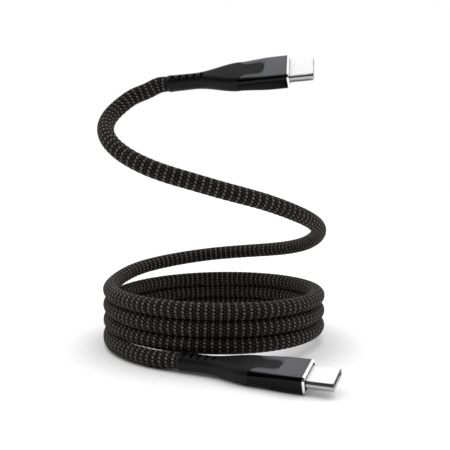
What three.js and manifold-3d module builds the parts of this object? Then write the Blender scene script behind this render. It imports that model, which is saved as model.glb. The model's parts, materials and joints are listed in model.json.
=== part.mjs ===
// A braided charging cable with a reversible 24-contact plug at each end, standing in its own coil.
// Millimetres, +Z up. The coil's turns lie on each other, and the top turn rises freely to the upper plug.
import * as THREE from 'three';
import * as BufferGeometryUtils from 'three/addons/utils/BufferGeometryUtils.js';
import Module from 'manifold-3d';

const wasm = await Module();
wasm.setup();

// ---- Driving dimensions -------------------------------------------------------------------------

const GAP = 0.3;                    // between cord solids and what they touch
const FIT = 0.12;                   // between pieces that are assembled closely

const CORD = { diameter: 4.5, sides: 10, step: 7.5 };
const CORD_STRAIGHT = 2.0;          // how far the cord runs straight out of a boot
const COIL = { radius: 32.1, pitch: 4.62, turns: 3.5, footRadius: 31.0, segments: 48 };

// The plug's own frame: +X towards the tip, +Y across, +Z out of the top face, 0 at the front rim.
const SHELL = { width: 8.25, thickness: 2.4, tip: 6.65, tail: -3.6, wall: 0.3 };
const HOUSING = { length: 14.3, width: 10.0, thickness: 4.8, corner: 1.4, wall: 0.6, chamfer: 0.28 };
const HOUSING_REAR = { width: 9.5, thickness: 4.5, corner: 1.9 };
const HOLLOW_CORNER = 1.1;
const NOSE = { front: -0.4, back: -1.4, corner: 1.05, clearance: 0.08 };
const BOOT = { length: 35.3, diameter: 4.7, waist: 4.55, lip: 4.9, bore: 3.8, flareFrom: 8.0 };
const BOOT_LIP = { out: 0.35, full: 0.6, back: 1.1 };       // along the sleeve, from its end
const CHAMBER = { diameter: 4.0, back: -23, middle: -19.2, width: 7.6, thickness: 3.2, corner: 0.9 };
const TONGUE = { tip: -7.0, halfWidth: 1.75, neck: -11.9, rootHalfWidth: 4.0, bend: 1.2, clearance: 0.15 };
const SLOTS = { count: 5, first: 1.9, pitch: 2.13, width: 0.58, halfSpan: 0.85, depth: 0.36 };
const CARRIER = { back: -4.6, front: 1.0, width: 7.2, thickness: 1.7, corner: 0.6, slot: 0.3 };
const CONTACTS = { count: 12, pitch: 0.5, width: 0.25, thickness: 0.12, height: 0.5, tip: 4.0 };
const SPRING = { back: 5.6, front: 6.3, halfWidth: 3.0, low: 0.7, high: 0.8, tongue: 1.3, halfTongue: 0.4 };
const SPRING_TONGUES = { at: [-2.1, -0.7, 0.7, 2.1], lean: 0.16 };
const LATCH = { root: -1.5, tip: 5.8, inner: 3.15, thickness: 0.25, height: 0.6, hook: 0.35, room: 0.45 };
const PLATE = { back: -4.4, thickness: 0.12, halfWidth: 2.7 };
const CARD = { back: -12.6, front: -4.9, width: 6.6, thickness: 0.7 };
const CAPACITOR = { back: -8.7, front: -7.7, y: [1.2, 1.7], z: [0.4, 0.78], end: 0.25, plating: 0.02 };
const CHIP = { x: [-8.9, -7.1], y: [-1.7, 0.1], z: [0.4, 0.84] };
const MOULD = { back: -9.4, front: -5.1, width: 7.6, thickness: 2.5, wall: 0.35, corner: 0.5 };
const CAN = { back: -14.0, front: -3.8, width: 8.25, thickness: 3.05, wall: 0.2, corner: 0.7 };
const JACKET = { diameter: 3.4, end: -19.0 };
const FERRULE = { back: -22.0, front: -19.4, inner: 3.55, outer: 3.8 };

// Where the plugs lie, from the coil's axis on the surface, and how they are turned, in degrees.
const LOWER_PLUG = { at: [23.7, -50.0, 3.4], heading: -24.4, pitch: 1.1, roll: 14.5 };
const UPPER_PLUG = { at: [21.4, -18.0, 79.6], heading: -12, pitch: 4.1, roll: 48.5 };

// The cord's free stretches, as hand-picked points from the coil's axis on the surface.
const LEAD_IN_ROUTE = [
  [-32.1, 0, 2.3], [-31.8, -4.4, 2.3], [-31.1, -8.8, 2.3], [-28.6, -17.3, 2.3],
  [-23.4, -25.1, 2.3], [-17.5, -30.6, 2.35], [-13.1, -33.3, 2.45],
];
const RISING_ROUTE = [
  [-32.1, 0, 16.17], [-30.3, 10.6, 17.3], [-25.8, 19.1, 18.6], [-20.6, 24.6, 19.4], [-10.0, 30.5, 20.7],
  [0.0, 32.1, 21.8], [10.3, 30.4, 22.9], [19.0, 25.9, 24.1], [26.3, 18.3, 26.0], [30.8, 9.2, 28.8],
  [32.3, -0.5, 32.3], [30.8, -9.6, 35.6], [27.0, -17.3, 38.4], [21.6, -23.7, 41.0], [12.7, -29.6, 44.3],
  [4.2, -32.7, 46.7], [-6.0, -34.6, 49.7], [-14.2, -35.0, 52.3], [-20.5, -33.4, 55.1], [-25.3, -29.9, 58.2],
  [-28.5, -24.8, 61.7], [-29.4, -19.4, 65.3], [-28.1, -15.2, 68.6], [-25.7, -12.6, 71.3],
  [-22.7, -10.9, 73.6], [-18.9, -10.1, 75.3],
];

// ---- Materials ----------------------------------------------------------------------------------

const finish = (color, roughness, metalness) => () =>
  new THREE.MeshStandardMaterial({ color, roughness, metalness });
const braid = finish(0x1b1a19, 0.85, 0);
const rubber = finish(0x232325, 0.6, 0);
const anodised = finish(0x3a3b3e, 0.38, 0.9);
const steel = finish(0xd9dadb, 0.18, 1);
const blackPlastic = finish(0x141415, 0.45, 0);
const gold = finish(0xcaa35a, 0.3, 1);
const board = finish(0x14532f, 0.5, 0);
const ceramic = finish(0x8a7358, 0.5, 0);
const chipPlastic = finish(0x1a1b1d, 0.5, 0);
const mouldPlastic = finish(0xd8d5c8, 0.6, 0);
const jacketPlastic = finish(0x2c2c2e, 0.6, 0);
const insulation = (color) => finish(color, 0.5, 0);

// ---- Shapes and solids --------------------------------------------------------------------------

function toSolid(geometry) {
  const bare = geometry.index ? geometry.toNonIndexed() : geometry.clone();
  bare.deleteAttribute('normal');
  bare.deleteAttribute('uv');
  const merged = BufferGeometryUtils.mergeVertices(bare, 1e-5);
  return new wasm.Manifold(new wasm.Mesh({
    numProp: 3,
    vertProperties: new Float32Array(merged.attributes.position.array),
    triVerts: new Uint32Array(merged.index.array),
  }));
}

function toGeometry(solid) {
  const mesh = solid.getMesh();
  const geometry = new THREE.BufferGeometry();
  geometry.setAttribute('position', new THREE.BufferAttribute(mesh.vertProperties, 3));
  geometry.setIndex(new THREE.BufferAttribute(mesh.triVerts, 1));
  return geometry;
}

// A rectangle with round corners, drawn across the plug: y to the side, z up.
function roundedRect(width, thickness, corner) {
  const [w, t] = [width / 2 - corner, thickness / 2 - corner];
  const shape = new THREE.Shape();
  shape.absarc(w, t, corner, 0, Math.PI / 2);
  shape.absarc(-w, t, corner, Math.PI / 2, Math.PI);
  shape.absarc(-w, -t, corner, Math.PI, 1.5 * Math.PI);
  shape.absarc(w, -t, corner, 1.5 * Math.PI, 2 * Math.PI);
  shape.closePath();
  return shape;
}

function disc(diameter) {
  return new THREE.Shape().absarc(0, 0, diameter / 2, 0, 2 * Math.PI);
}

// A bar of that cross-section along the plug, from one x to another.
function bar(shape, from, to, curveSegments = 4) {
  const geometry = new THREE.ExtrudeGeometry(shape, { depth: to - from, bevelEnabled: false, curveSegments });
  const across = new THREE.Matrix4().makeBasis(
    new THREE.Vector3(0, 1, 0), new THREE.Vector3(0, 0, 1), new THREE.Vector3(1, 0, 0));
  return geometry.applyMatrix4(across).translate(from, 0, 0);
}

function block([x0, x1], [y0, y1], [z0, z1]) {
  return new THREE.BoxGeometry(x1 - x0, y1 - y0, z1 - z0)
    .translate((x0 + x1) / 2, (y0 + y1) / 2, (z0 + z1) / 2);
}

function tube(outer, inner, from, to, curveSegments = 4) {
  const cut = toSolid(bar(inner, from - 1, to + 1, curveSegments));
  return toGeometry(toSolid(bar(outer, from, to, curveSegments)).subtract(cut));
}

// A closed skin over rounded rectangles that change along the plug.
function loft(sections, pointsPerCorner = 4) {
  const rings = sections.map(({ x, width, thickness, corner }) => {
    const ring = roundedRect(width, thickness, corner - 1e-3).extractPoints(pointsPerCorner).shape;
    return ring.slice(0, -1).map((p) => [x, p.x, p.y]);
  });
  const count = rings[0].length;
  const positions = rings.flat(2);
  const index = [];
  for (let r = 0; r + 1 < rings.length; r += 1) {
    for (let i = 0; i < count; i += 1) {
      const next = (i + 1) % count;
      const [a, b] = [r * count + i, r * count + next];
      index.push(a, b, a + count, b, b + count, a + count);
    }
  }
  for (const [r, flip] of [[0, false], [rings.length - 1, true]]) {
    positions.push(sections[r].x, 0, 0);
    const centre = positions.length / 3 - 1;
    for (let i = 0; i < count; i += 1) {
      const [a, b] = [r * count + i, r * count + ((i + 1) % count)];
      index.push(...(flip ? [centre, a, b] : [centre, b, a]));
    }
  }
  const geometry = new THREE.BufferGeometry();
  geometry.setAttribute('position', new THREE.Float32BufferAttribute(positions, 3));
  geometry.setIndex(index);
  return geometry;
}

function rod(points, diameter, sides, steps) {
  const path = new THREE.CatmullRomCurve3(points.map((p) => new THREE.Vector3(...p)), false, 'centripetal');
  const ring = Array.from({ length: sides }, (_, i) => {
    const turn = (2 * Math.PI * i) / sides;
    return new THREE.Vector2((diameter / 2) * Math.cos(turn), (diameter / 2) * Math.sin(turn));
  });
  return new THREE.ExtrudeGeometry(new THREE.Shape(ring), { steps, extrudePath: path });
}

const meshOf = (name, geometry, material) => {
  const mesh = new THREE.Mesh(geometry, material());
  mesh.name = name;
  return mesh;
};

// ---- The plug's pieces --------------------------------------------------------------------------

const shellOutline = (inset) =>
  roundedRect(SHELL.width - 2 * inset, SHELL.thickness - 2 * inset, SHELL.thickness / 2 - inset - 1e-3);

function shell() {
  return tube(shellOutline(0), shellOutline(SHELL.wall), SHELL.tail, SHELL.tip, 5);
}

function contactCarrier() {
  const { back, front, width, thickness, corner, slot: opening } = CARRIER;
  const row = (CONTACTS.count * CONTACTS.pitch) / 2 + 0.05;
  let slotted = toSolid(bar(roundedRect(width, thickness, corner), back, front));
  for (const z of [-CONTACTS.height, 0, CONTACTS.height]) {
    const halfWidth = z === 0 ? PLATE.halfWidth + FIT : row;
    const slot = block([back - 1, front + 1], [-halfWidth, halfWidth], [z - opening / 2, z + opening / 2]);
    slotted = slotted.subtract(toSolid(slot));
  }
  for (const side of [-1, 1]) {
    const [a, b] = [LATCH.inner - 0.1, width].map((y) => side * y).sort((p, q) => p - q);
    const relief = block([LATCH.root - 0.1, front + 1], [a, b], [-LATCH.room, LATCH.room]);
    slotted = slotted.subtract(toSolid(relief));
  }
  return toGeometry(slotted);
}

// One row of contacts, still tied together by the strip that their tails are soldered from.
function contactRow(side) {
  const z = [CONTACTS.height - CONTACTS.thickness / 2, CONTACTS.height + CONTACTS.thickness / 2];
  const span = (CONTACTS.count / 2) * CONTACTS.pitch - 0.1;
  let comb = toSolid(block([CARRIER.back - 0.9, CARRIER.back - 0.5], [-span, span], z));
  for (let i = 0; i < CONTACTS.count; i += 1) {
    const y = (i - (CONTACTS.count - 1) / 2) * CONTACTS.pitch;
    const across = [y - CONTACTS.width / 2, y + CONTACTS.width / 2];
    comb = comb.add(toSolid(block([CARRIER.back - 0.6, CONTACTS.tip], across, z)));
  }
  const geometry = toGeometry(comb);
  return side > 0 ? geometry : geometry.rotateX(Math.PI);
}

// The ground spring near the mouth: a strip with four tongues that lean towards the middle.
function groundSpring(side) {
  const { back, front, halfWidth, low, high, tongue: length, halfTongue } = SPRING;
  const half = (high - low) / 2;
  let spring = toSolid(block([back, front], [-halfWidth, halfWidth], [low, high]));
  for (const y of SPRING_TONGUES.at) {
    const tongue = block([-length, 0.15], [y - halfTongue, y + halfTongue], [-half, half])
      .rotateY(-SPRING_TONGUES.lean).translate(back, 0, low + half);
    spring = spring.add(toSolid(tongue));
  }
  const geometry = toGeometry(spring);
  return side > 0 ? geometry : geometry.rotateX(Math.PI);
}

function latchPlate() {
  const half = PLATE.thickness / 2;
  return block([PLATE.back, CARRIER.front + 0.4], [-PLATE.halfWidth, PLATE.halfWidth], [-half, half]);
}

// A side arm of the latch, with the hook that drops into the socket's notch.
function latchArm(side) {
  const { root, tip, inner, thickness, hook } = LATCH;
  const outline = new THREE.Shape([
    [root, inner], [tip - 1.1, inner], [tip - 0.6, inner - hook], [tip - 0.3, inner - hook],
    [tip, inner], [tip, inner + thickness], [root, inner + thickness],
  ].map(([x, y]) => new THREE.Vector2(x, y)));
  const arm = new THREE.ExtrudeGeometry(outline, { depth: LATCH.height, bevelEnabled: false });
  arm.translate(0, 0, -LATCH.height / 2);
  return side > 0 ? arm : arm.rotateX(Math.PI);
}

function paddleCard() {
  const [y, z] = [CARD.width / 2, CARD.thickness / 2];
  return block([CARD.back, CARD.front], [-y, y], [-z, z]);
}

function capacitor() {
  const { back, front, y, z, end, plating } = CAPACITOR;
  const [ySkin, zSkin] = [y, z].map(([a, b]) => [a - plating, b + plating]);
  const body = toSolid(block([back + 0.1, front - 0.1], y, z));
  const ends = [[back, back + end], [front - end, front]].map((x) => toSolid(block(x, ySkin, zSkin)));
  return toGeometry(body.add(ends[0]).add(ends[1]));
}

const markerChip = () => block(CHIP.x, CHIP.y, CHIP.z);

const boxSleeve = ({ width, thickness, wall, corner, back, front }) => tube(
  roundedRect(width, thickness, corner),
  roundedRect(width - 2 * wall, thickness - 2 * wall, corner - 0.2), back, front, 3);

const ferrule = () => tube(disc(FERRULE.outer), disc(FERRULE.inner), FERRULE.back, FERRULE.front, 16);

const jacketEnd = () => bar(disc(JACKET.diameter), -BOOT.length + 0.1, JACKET.end, 16);

const bodySection = (x, inset = 0) => {
  const share = THREE.MathUtils.smoothstep(x, -HOUSING.length, -HOUSING.length / 3);
  const mix = (key) => THREE.MathUtils.lerp(HOUSING_REAR[key], HOUSING[key], share);
  return {
    x,
    width: mix('width') - 2 * inset,
    thickness: mix('thickness') - 2 * inset,
    corner: mix('corner') - inset * 0.6,
  };
};

const HOUSING_STATIONS = [-HOUSING.length, -12, -9.5, -7, -4.5];

// The tongue's outline on the top face; the housing's notch is the same outline, a little larger.
function tongueOutline(grow, back) {
  const { tip, halfWidth, neck, rootHalfWidth, bend, clearance } = TONGUE;
  const [w, root, end] = [halfWidth + grow, rootHalfWidth + grow, tip + grow];
  const shape = new THREE.Shape();
  shape.moveTo(back, -root);
  shape.lineTo(-HOUSING.length, -root);
  shape.quadraticCurveTo(-HOUSING.length + bend, -w - clearance, neck, -w);
  shape.absarc(end - w, 0, w, -Math.PI / 2, Math.PI / 2);
  shape.lineTo(neck, w);
  shape.quadraticCurveTo(-HOUSING.length + bend, w + clearance, -HOUSING.length, root);
  shape.lineTo(back, root);
  shape.closePath();
  return shape;
}

const tongueBlock = (grow, back, z0, z1) => new THREE.ExtrudeGeometry(
  tongueOutline(grow, back), { depth: z1 - z0, bevelEnabled: false, curveSegments: 6 }).translate(0, 0, z0);

function housing() {
  const front = [bodySection(-HOUSING.chamfer), bodySection(0, HOUSING.chamfer)];
  const outside = toSolid(loft([...HOUSING_STATIONS.map((x) => bodySection(x)), ...front]));
  const [width, thickness] = [HOUSING.width, HOUSING.thickness].map((size) => size - 2 * HOUSING.wall);
  const hollow = bar(roundedRect(width, thickness, HOLLOW_CORNER), -HOUSING.length - 1, 1);
  let sleeve = outside.subtract(toSolid(hollow));
  for (const half of [[1.0, 4.0], [-4.0, -1.0]]) {
    sleeve = sleeve.subtract(toSolid(tongueBlock(TONGUE.clearance, -HOUSING.length - 1, ...half)));
  }
  return toGeometry(sleeve);
}

function nosePlate() {
  const inset = HOUSING.wall + NOSE.clearance;
  const face = roundedRect(HOUSING.width - 2 * inset, HOUSING.thickness - 2 * inset, NOSE.corner);
  return tube(face, shellOutline(-NOSE.clearance), NOSE.back, NOSE.front, 5);
}

// The strain relief: a round sleeve at the cord, flaring to the housing's section at the front.
function bootSection(x) {
  const { smoothstep, lerp } = THREE.MathUtils;
  const rear = -BOOT.length;
  const flare = smoothstep(x, rear + BOOT.flareFrom, -HOUSING.length + 0.5);
  const lipStart = smoothstep(x, rear, rear + BOOT_LIP.out);
  const lipEnd = 1 - smoothstep(x, rear + BOOT_LIP.full, rear + BOOT_LIP.back);
  const sleeve = lerp(BOOT.diameter, BOOT.waist, smoothstep(x, rear, rear + BOOT.flareFrom));
  const round = sleeve + (BOOT.lip - BOOT.diameter) * lipStart * lipEnd;
  const width = lerp(round, HOUSING_REAR.width, flare);
  const thickness = lerp(round, HOUSING_REAR.thickness, flare);
  const full = Math.min(width, thickness) / 2;
  return { x, width, thickness, corner: lerp(full, HOUSING_REAR.corner, flare ** 2) };
}

const BOOT_STATIONS = [
  0, BOOT_LIP.out, BOOT_LIP.full, BOOT_LIP.back, BOOT.flareFrom, 10, 12, 14, 16, 18, 19.7,
];

function boot() {
  const rear = -BOOT.length;
  const front = -HOUSING.length - FIT;
  const stations = BOOT_STATIONS.map((s) => rear + s);
  let body = toSolid(loft([...stations, front].map(bootSection), 5));
  for (const half of [1, -1]) {
    const z = [HOUSING.thickness / 2 - HOUSING.wall + 0.05, HOUSING.thickness / 2 + 0.5].map((v) => half * v);
    z.sort((a, b) => a - b);
    const outside = toSolid(loft(HOUSING_STATIONS.map((x) => bodySection(x - 0.01))));
    body = body.add(toSolid(tongueBlock(0, front - 0.6, ...z)).intersect(
      outside.add(toSolid(loft([bootSection(front - 1.2), bodySection(-HOUSING.length + 0.05)])))));
  }
  const { diameter: round, back, middle, width, thickness, corner } = CHAMBER;
  const chamber = loft([
    { x: back, width: round, thickness: round, corner: round / 2 },
    { x: middle, width: round + 0.4, thickness: round, corner: round / 2 },
    { x: -HOUSING.length + 0.2, width, thickness, corner },
  ], 5);
  const bore = bar(disc(BOOT.bore), rear - 1, back + 0.5, 16);
  body = body.subtract(toSolid(chamber)).subtract(toSolid(bore));
  for (let i = 0; i < SLOTS.count; i += 1) {
    const x = rear + SLOTS.first + i * SLOTS.pitch;
    for (const half of [1, -1]) {
      const depth = [BOOT.diameter / 2 - SLOTS.depth, BOOT.diameter / 2 + 1];
      const cut = block([x - SLOTS.width / 2, x + SLOTS.width / 2], [-SLOTS.halfSpan, SLOTS.halfSpan], depth);
      body = body.subtract(toSolid(half > 0 ? cut : cut.rotateX(Math.PI)));
    }
  }
  return toGeometry(body);
}

// The cord's cores, from the card's pads to the end of the inner jacket.
const CORES = [
  { name: 'power_wire', color: 0xb02a25, diameter: 0.8, pad: 2.4, side: 1, bundle: 18 },
  { name: 'ground_wire', color: 0x1c1c1e, diameter: 0.8, pad: -2.4, side: 1, bundle: 162 },
  { name: 'config_wire', color: 0x2f5fae, diameter: 0.6, pad: 0, side: 1, bundle: 90 },
  { name: 'data_plus_wire', color: 0x2f8a46, diameter: 0.6, pad: 1.1, side: -1, bundle: 306 },
  { name: 'data_minus_wire', color: 0xd9d9d6, diameter: 0.6, pad: -1.1, side: -1, bundle: 234 },
];

function core({ diameter, pad, side, bundle }) {
  const lift = side * (CARD.thickness / 2 + 0.08 + diameter / 2);
  const turn = THREE.MathUtils.degToRad(bundle);
  const [yEnd, zEnd] = [Math.cos(turn), Math.sin(turn)];
  return rod([
    [-10.2, pad, lift], [-12.8, pad, lift], [-15.6, (pad + yEnd) / 2, (lift + zEnd) / 2],
    [JACKET.end + 0.7, yEnd, zEnd], [JACKET.end + 0.1, yEnd, zEnd],
  ], diameter, 8, 7);
}

function plug(prefix, hasMarkerChip) {
  const group = new THREE.Group();
  const add = (name, geometry, material) => group.add(meshOf(`${prefix}_${name}`, geometry, material));
  add('shell', shell(), steel);
  add('contact_carrier', contactCarrier(), blackPlastic);
  add('contacts_top', contactRow(1), gold);
  add('contacts_bottom', contactRow(-1), gold);
  add('ground_spring_top', groundSpring(1), steel);
  add('ground_spring_bottom', groundSpring(-1), steel);
  add('latch_plate', latchPlate(), steel);
  add('latch_arm_left', latchArm(1), steel);
  add('latch_arm_right', latchArm(-1), steel);
  add('paddle_card', paddleCard(), board);
  add('capacitor', capacitor(), ceramic);
  if (hasMarkerChip) add('marker_chip', markerChip(), chipPlastic);
  add('inner_mould', boxSleeve(MOULD), mouldPlastic);
  add('shield_can', boxSleeve(CAN), steel);
  add('crimp_ferrule', ferrule(), steel);
  add('jacket_end', jacketEnd(), jacketPlastic);
  add('housing', housing(), anodised);
  add('nose_plate', nosePlate(), blackPlastic);
  add('boot', boot(), rubber);
  for (const wire of CORES) add(wire.name, core(wire), insulation(wire.color));
  return group;
}

function place(group, { at, heading, pitch, roll }) {
  const [h, p, r] = [heading, pitch, roll].map(THREE.MathUtils.degToRad);
  group.rotation.set(r, -p, h, 'ZYX');
  group.position.set(...at);
  group.updateMatrixWorld(true);
  return group;
}

// ---- The cord -----------------------------------------------------------------------------------

// The stack of turns, with a step at its foot that leaves room for the lowest turn's way out.
function coil() {
  const half = CORD.diameter / 2;
  const [inner, outer] = [COIL.radius - half, COIL.radius + half];
  const step = CORD.diameter + GAP;
  const top = COIL.turns * COIL.pitch;
  const profile = [[inner, 0], [COIL.footRadius, 0], [COIL.footRadius, step], [outer, step], [outer, top],
    [inner, top], [inner, 0]].map(([r, z]) => new THREE.Vector2(r, z));
  return new THREE.LatheGeometry(profile, COIL.segments).rotateX(Math.PI / 2);
}

// The part of a route that is clear of the coil, ending square and a gap short of the boot's mouth.
function cordTube(route, group, isClear) {
  const ahead = [GAP + CORD_STRAIGHT, GAP].map((gap) =>
    group.localToWorld(new THREE.Vector3(-BOOT.length - gap, 0, 0)));
  const path = new THREE.CatmullRomCurve3(
    [...route.map((p) => new THREE.Vector3(...p)), ...ahead], false, 'centripetal');
  const fine = path.getSpacedPoints(400);
  const clear = fine.slice(fine.findIndex(isClear));
  const length = (path.getLength() * clear.length) / fine.length;
  const steps = Math.ceil(length / CORD.step);
  const points = Array.from({ length: 4 * steps + 1 }, (_, i) =>
    clear[Math.round((i * (clear.length - 1)) / (4 * steps))].toArray());
  return rod(points, CORD.diameter, CORD.sides, steps);
}

// ---- The cable ----------------------------------------------------------------------------------

const cable = new THREE.Group();
const lowerPlug = place(plug('lower', true), LOWER_PLUG);
const upperPlug = place(plug('upper', false), UPPER_PLUG);
lowerPlug.position.z -= new THREE.Box3().setFromObject(lowerPlug, true).min.z;
lowerPlug.updateMatrixWorld(true);

const half = CORD.diameter / 2;
const besideFoot = (p) => Math.hypot(p.x, p.y) > COIL.footRadius + half + GAP;
const aboveCoil = (p) => p.z > COIL.turns * COIL.pitch + half + GAP;
const leadIn = cordTube(LEAD_IN_ROUTE, lowerPlug, besideFoot);
const risingTurn = cordTube(RISING_ROUTE, upperPlug, aboveCoil);

cable.add(lowerPlug, upperPlug);
cable.add(meshOf('cord_coil', coil(), braid));
cable.add(meshOf('cord_lead_in', leadIn, braid));
cable.add(meshOf('cord_rising_turn', risingTurn, braid));

// The origin is on the surface, under the middle of the box around the two plugs.
const plugs = new THREE.Box3().setFromObject(lowerPlug, true);
plugs.union(new THREE.Box3().setFromObject(upperPlug, true));
const middle = plugs.getCenter(new THREE.Vector3());
cable.position.set(-middle.x, -middle.y, 0);

export default cable;
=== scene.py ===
# %% [markdown]
# A charging cable stands in its own coil: three turns of black braided cord lie on each other, and the
# fourth rises freely to the upper plug. The lower plug lies on the table in front.
# The packed model already says where every piece is and how it moves. This script loads it as a fixed
# frame and only makes the visible surfaces: the woven cord, the rubber strain reliefs, the metal bodies
# and every finish.

# %% Load the packed model
import json
import math

import bmesh
import bpy
import numpy as np
from mathutils import Matrix, Vector


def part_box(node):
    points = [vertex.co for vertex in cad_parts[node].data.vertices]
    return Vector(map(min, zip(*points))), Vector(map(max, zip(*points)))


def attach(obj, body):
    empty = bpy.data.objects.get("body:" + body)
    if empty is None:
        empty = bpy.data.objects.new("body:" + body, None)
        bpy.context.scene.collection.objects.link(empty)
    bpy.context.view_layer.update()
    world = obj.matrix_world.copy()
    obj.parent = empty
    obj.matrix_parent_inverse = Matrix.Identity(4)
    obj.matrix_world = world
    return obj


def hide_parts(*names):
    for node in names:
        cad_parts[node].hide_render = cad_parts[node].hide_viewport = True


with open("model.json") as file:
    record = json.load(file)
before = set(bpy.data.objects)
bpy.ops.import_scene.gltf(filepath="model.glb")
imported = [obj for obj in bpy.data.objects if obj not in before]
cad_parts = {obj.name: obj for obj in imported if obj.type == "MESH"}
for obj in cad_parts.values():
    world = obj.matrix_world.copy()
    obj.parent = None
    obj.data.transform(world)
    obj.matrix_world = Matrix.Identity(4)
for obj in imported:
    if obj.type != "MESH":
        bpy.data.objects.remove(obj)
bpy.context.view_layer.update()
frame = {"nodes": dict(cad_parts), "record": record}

MM = 0.001

# %% [markdown]
# The view. A long lens far away would flatten the coil. From about 20 cm, as a small thing on a table is
# looked at, the turns in front are drawn larger than those behind. The camera stands almost level with
# the table and looks down by five degrees. It is placed from the coil's own axis.

# %% Camera
CAMERA_FROM_COIL_AXIS = Vector((3.40, -197.03, 52.99)) * MM
CAMERA_TILT_DOWN = 0.0904
CAMERA_LENS, CAMERA_SENSOR = 50.69, 36

coil_low, coil_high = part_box("cord_coil")
coil_axis = Vector(((coil_low.x + coil_high.x) / 2, (coil_low.y + coil_high.y) / 2, 0))

bpy.ops.object.camera_add(
    location=coil_axis + CAMERA_FROM_COIL_AXIS,
    rotation=(math.pi / 2 - CAMERA_TILT_DOWN, 0, 0),
)
camera = bpy.context.object
camera.data.lens = CAMERA_LENS
camera.data.sensor_width = CAMERA_SENSOR
bpy.context.scene.camera = camera
print("The coil's axis is at", [round(c / MM, 2) for c in coil_axis], "mm")

# %% [markdown]
# Each plug has a frame of its own: X towards the tip, Y across, Z out of the top face, and 0 at the front
# rim of the metal body. The record's mounts state two directions and one point of it, and the third
# direction is their cross product. The pieces of a plug are modelled once, in millimetres in this frame,
# where edges are parallel to the axes and easy to select, and then set down in both places.

# %% Where the two plugs lie
STOP_FACE_HEIGHT = 1.92

mounts = {m["name"]: m for m in frame["record"]["mounts"]}


def plug_frame(end):
    forward = Vector(mounts[end + "_stop_face"]["axis"]).normalized()
    up = Vector(mounts[end + "_body_top"]["axis"]).normalized()
    origin = Vector(mounts[end + "_stop_face"]["pos_m"]) - up * STOP_FACE_HEIGHT * MM
    turned = Matrix((forward, up.cross(forward), up)).transposed().to_4x4()
    return Matrix.Translation(origin) @ turned @ Matrix.Scale(MM, 4)


PLUG_FRAMES = {end: plug_frame(end) for end in ("lower", "upper")}
for end, placed in PLUG_FRAMES.items():
    print("The", end, "plug's rim is at", [round(c / MM, 1) for c in placed.translation], "mm")

# %% [markdown]
# The cord. It leaves the lower plug's strain relief, joins the stack, winds three turns clockwise and then
# rises once more round to the upper plug. The free stretches are lists of points from the coil's axis, in
# millimetres, and part of the rising one was found by a numerical search. The turns between them are a
# helix worked out by a loop.

# %% The cord's route
CORD_DIAMETER = 4.68
COIL_RADIUS = 32.1
COIL_PITCH = 4.62
FULL_TURNS = 3
BOOT_LENGTH = 35.3
MOUTH_GAP = 0.3

LEAD_IN_ROUTE = [
    [-31.8, -4.4, 2.3], [-31.1, -8.8, 2.3], [-28.6, -17.3, 2.3],
    [-23.4, -25.1, 2.3], [-17.5, -30.6, 2.35], [-13.1, -33.3, 2.45],
]
RISING_ROUTE = [
    [-30.3, 10.6, 17.3], [-25.8, 19.1, 18.6], [-20.6, 24.6, 19.4], [-10.0, 30.5, 20.7],
    [0.0, 32.1, 21.8], [10.3, 30.4, 22.9], [19.0, 25.9, 24.1], [26.3, 18.3, 26.0], [30.8, 9.2, 28.8],
    [32.3, -0.5, 32.3], [30.8, -9.6, 35.6], [27.0, -17.3, 38.4], [21.6, -23.7, 41.0], [12.7, -29.6, 44.3],
    [4.2, -32.7, 46.7], [-6.0, -34.6, 49.7], [-14.2, -35.0, 52.3], [-20.5, -33.4, 55.1],
    [-25.3, -29.9, 58.2], [-28.5, -24.8, 61.7], [-29.4, -19.4, 65.3], [-28.1, -15.2, 68.6],
    [-25.7, -12.6, 71.3], [-22.7, -10.9, 73.6], [-18.9, -10.1, 75.3],
]
POINTS_PER_TURN = 24


def helix_turns():
    """The stacked turns, from the left side round the back, one pitch higher after each turn."""
    for i in range(FULL_TURNS * POINTS_PER_TURN + 1):
        turn = i / POINTS_PER_TURN
        angle = math.pi * (1 - 2 * turn)
        height = COIL_PITCH * (turn + 0.5)
        yield [COIL_RADIUS * math.cos(angle), COIL_RADIUS * math.sin(angle), height]


def mouth_point(end, inside=0.0):
    """A point on a plug's axis at its mouth, or so many millimetres inside it, or outside if negative."""
    return PLUG_FRAMES[end] @ Vector((-BOOT_LENGTH - MOUTH_GAP + inside, 0, 0))


def from_coil_axis(points):
    return [Vector(p) * MM + coil_axis for p in points]


INSIDE_MOUTH, STRAIGHT_OUT = 1.2, 2.0
key_points = (
    [mouth_point("lower", INSIDE_MOUTH), mouth_point("lower"), mouth_point("lower", -STRAIGHT_OUT)]
    + from_coil_axis(reversed(LEAD_IN_ROUTE))
    + from_coil_axis(helix_turns())
    + from_coil_axis(RISING_ROUTE)
    + [mouth_point("upper", -STRAIGHT_OUT), mouth_point("upper"), mouth_point("upper", INSIDE_MOUTH)]
)
print("The cord's route has", len(key_points), "key points")

# %% [markdown]
# A cord has no corners and its bend changes gradually. A natural cubic spline has exactly that property:
# it is the shape a springy rod takes through given points. It is solved as one small set of linear
# equations and then walked along in even steps.


# %% A springy line through the key points
FINE_STEPS = 40


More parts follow.
